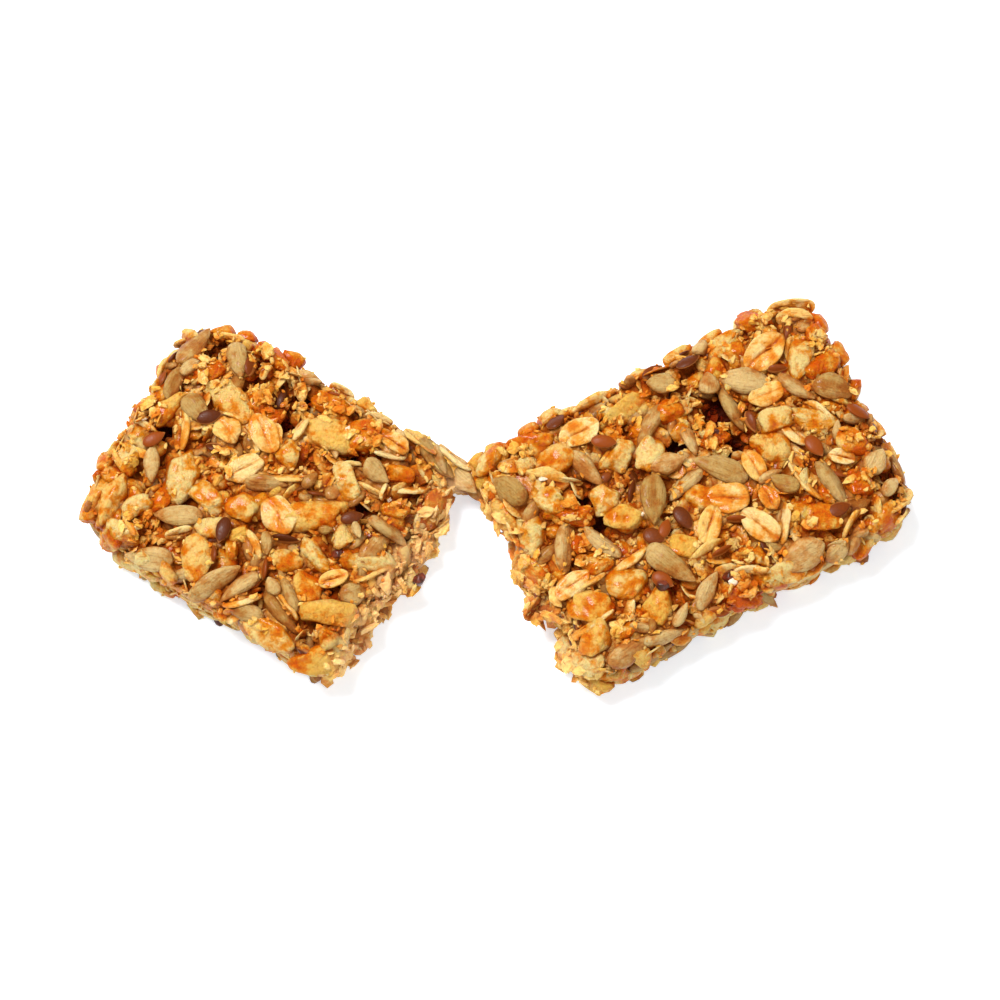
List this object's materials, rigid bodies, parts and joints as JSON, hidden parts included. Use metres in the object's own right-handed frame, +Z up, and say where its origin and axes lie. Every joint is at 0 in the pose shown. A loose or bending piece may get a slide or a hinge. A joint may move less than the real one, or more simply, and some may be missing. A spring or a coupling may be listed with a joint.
{
  "type": "granola bar",
  "caption": "Oat, crisp and sunflower kernel granola bar torn across the middle, its two halves still joined at one corner by a neck of syrup.",
  "frame": {"origin": "middle of the footprint of the whole opened bar, on its pressed underside", "axes": "+X along the widest reach of the opened bar, from the shorter half to the longer half; +Y towards the joined corner's side; +Z up from the pressed underside to the showing top"},
  "size_m": [0.1382, 0.066, 0.0131],
  "materials": {
    "granola": "sticky baked oat mix, golden to caramel brown, glossy with syrup",
    "oat_flake": "rolled oats, pale cream to toasted gold, thinly glazed",
    "crisp": "puffed golden crisps, orange where the syrup pools",
    "kernel": "grey-tan sunflower kernels, faintly ribbed and satin",
    "seed": "glossy brown flax seeds with a paler rim",
    "syrup": "caramel syrup that binds the pieces, dark in the crevices"
  },
  "bodies": {
    "root": {"granola_bar": "granola"}
  },
  "joints": []
}
